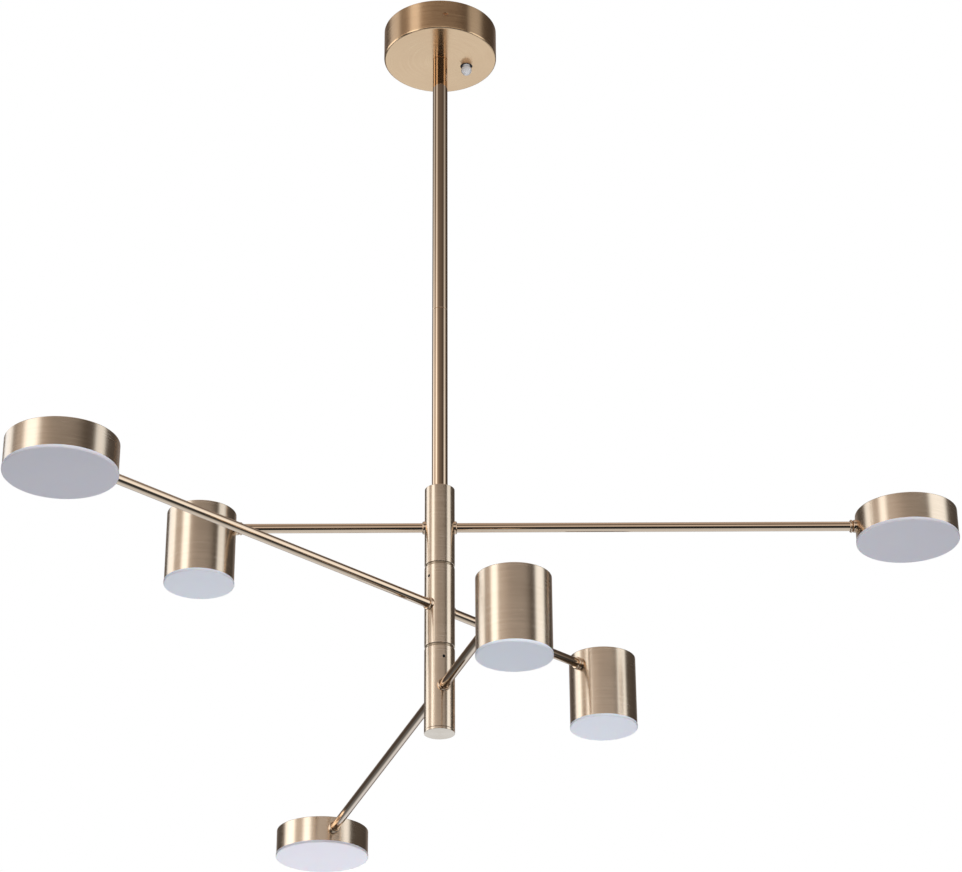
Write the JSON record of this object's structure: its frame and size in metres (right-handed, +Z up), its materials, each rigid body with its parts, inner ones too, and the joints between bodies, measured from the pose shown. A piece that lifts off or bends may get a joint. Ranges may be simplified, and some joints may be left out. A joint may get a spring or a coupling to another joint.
{
  "type": "multi arm chandelier",
  "caption": "Ceiling chandelier: a rod hangs a column of turning tiers, each with a long arm to a flat disc light and a short arm to a can light that roll about their arms.",
  "frame": {"origin": "centre of the ceiling bracket's top face, which lies on the ceiling", "axes": "+Z up out of the ceiling face, +Y along the ceiling bracket, +X to its right seen from below the front canopy screw"},
  "size_m": [0.9255, 0.8561, 0.8356],
  "materials": {
    "satin_brass": "satin brushed, champagne-brass tone",
    "polished_brass": "polished, champagne-brass tone",
    "zinc_steel": "zinc plated",
    "aluminium": "turned",
    "frosted_acrylic": "frosted opal acrylic",
    "circuit_board": "white solder mask",
    "black_screw": "black oxide",
    "cable_sheath": "white sheath",
    "driver_case": "moulded, fine texture",
    "terminal_nylon": "moulded nylon",
    "receiver_lens": "smooth moulded"
  },
  "bodies": {
    "stem": {"ceiling_bracket": "zinc_steel", "canopy": "satin_brass", "canopy_screws": "satin_brass", "led_driver": "driver_case", "terminal_block": "terminal_nylon", "receiver_module": "driver_case", "receiver_lens": "receiver_lens", "stem_nut": "zinc_steel", "rod_nipples": "zinc_steel", "upper_rod": "polished_brass", "lower_rod": "polished_brass", "stem_cable": "cable_sheath", "spindle": "zinc_steel", "spacer_rings": "satin_brass", "end_cap": "satin_brass"},
    "upper_tier": {"upper_housing": "satin_brass", "upper_hub": "aluminium", "upper_set_screws": "black_screw", "upper_harness": "cable_sheath", "upper_disc_arm": "polished_brass", "upper_can_arm": "polished_brass", "upper_arm_rings": "polished_brass"},
    "upper_disc_light": {"upper_disc_shade": "satin_brass", "upper_disc_stud": "polished_brass", "upper_disc_led_board": "circuit_board", "upper_disc_diffuser": "frosted_acrylic"},
    "upper_can_light": {"upper_can_shade": "satin_brass", "upper_can_stud": "polished_brass", "upper_can_led_board": "circuit_board", "upper_can_diffuser": "frosted_acrylic"},
    "middle_tier": {"middle_housing": "satin_brass", "middle_hub": "aluminium", "middle_set_screws": "black_screw", "middle_harness": "cable_sheath", "middle_disc_arm": "polished_brass", "middle_can_arm": "polished_brass", "middle_arm_rings": "polished_brass"},
    "middle_disc_light": {"middle_disc_shade": "satin_brass", "middle_disc_stud": "polished_brass", "middle_disc_led_board": "circuit_board", "middle_disc_diffuser": "frosted_acrylic"},
    "middle_can_light": {"middle_can_shade": "satin_brass", "middle_can_stud": "polished_brass", "middle_can_led_board": "circuit_board", "middle_can_diffuser": "frosted_acrylic"},
    "lower_tier": {"lower_housing": "satin_brass", "lower_hub": "aluminium", "lower_set_screws": "black_screw", "lower_harness": "cable_sheath", "lower_disc_arm": "polished_brass", "lower_can_arm": "polished_brass", "lower_arm_rings": "polished_brass"},
    "lower_disc_light": {"lower_disc_shade": "satin_brass", "lower_disc_stud": "polished_brass", "lower_disc_led_board": "circuit_board", "lower_disc_diffuser": "frosted_acrylic"},
    "lower_can_light": {"lower_can_shade": "satin_brass", "lower_can_stud": "polished_brass", "lower_can_led_board": "circuit_board", "lower_can_diffuser": "frosted_acrylic"}
  },
  "joints": [
    {"name": "upper_tier_swivel", "type": "hinge", "parent": "stem", "child": "upper_tier", "pos_m": [0, 0, -0.60025], "axis": [0, 0, 1], "range_deg": [-165, 165]},
    {"name": "upper_disc_tilt", "type": "hinge", "parent": "upper_tier", "child": "upper_disc_light", "pos_m": [0.41238, -0.04189, -0.60025], "axis": [0.9949, -0.1011, 0], "range_deg": [-90, 90]},
    {"name": "upper_can_tilt", "type": "hinge", "parent": "upper_tier", "child": "upper_can_light", "pos_m": [-0.20146, 0.02046, -0.60025], "axis": [-0.9949, 0.1011, 0], "range_deg": [-90, 90]},
    {"name": "middle_tier_swivel", "type": "hinge", "parent": "stem", "child": "middle_tier", "pos_m": [0, 0, -0.68725], "axis": [0, 0, 1], "range_deg": [-165, 165]},
    {"name": "middle_disc_tilt", "type": "hinge", "parent": "middle_tier", "child": "middle_disc_light", "pos_m": [-0.31984, -0.26365, -0.68725], "axis": [-0.7716, -0.6361, 0], "range_deg": [-90, 90]},
    {"name": "middle_can_tilt", "type": "hinge", "parent": "middle_tier", "child": "middle_can_light", "pos_m": [0.15625, 0.12881, -0.68725], "axis": [0.7716, 0.6361, 0], "range_deg": [-90, 90]},
    {"name": "lower_tier_swivel", "type": "hinge", "parent": "stem", "child": "lower_tier", "pos_m": [0, 0, -0.77425], "axis": [0, 0, 1], "range_deg": [-165, 165]},
    {"name": "lower_disc_tilt", "type": "hinge", "parent": "lower_tier", "child": "lower_disc_light", "pos_m": [-0.07909, 0.40688, -0.77425], "axis": [-0.1908, 0.9816, 0], "range_deg": [-90, 90]},
    {"name": "lower_can_tilt", "type": "hinge", "parent": "lower_tier", "child": "lower_can_light", "pos_m": [0.03864, -0.19878, -0.77425], "axis": [0.1908, -0.9816, 0], "range_deg": [-90, 90]}
  ]
}
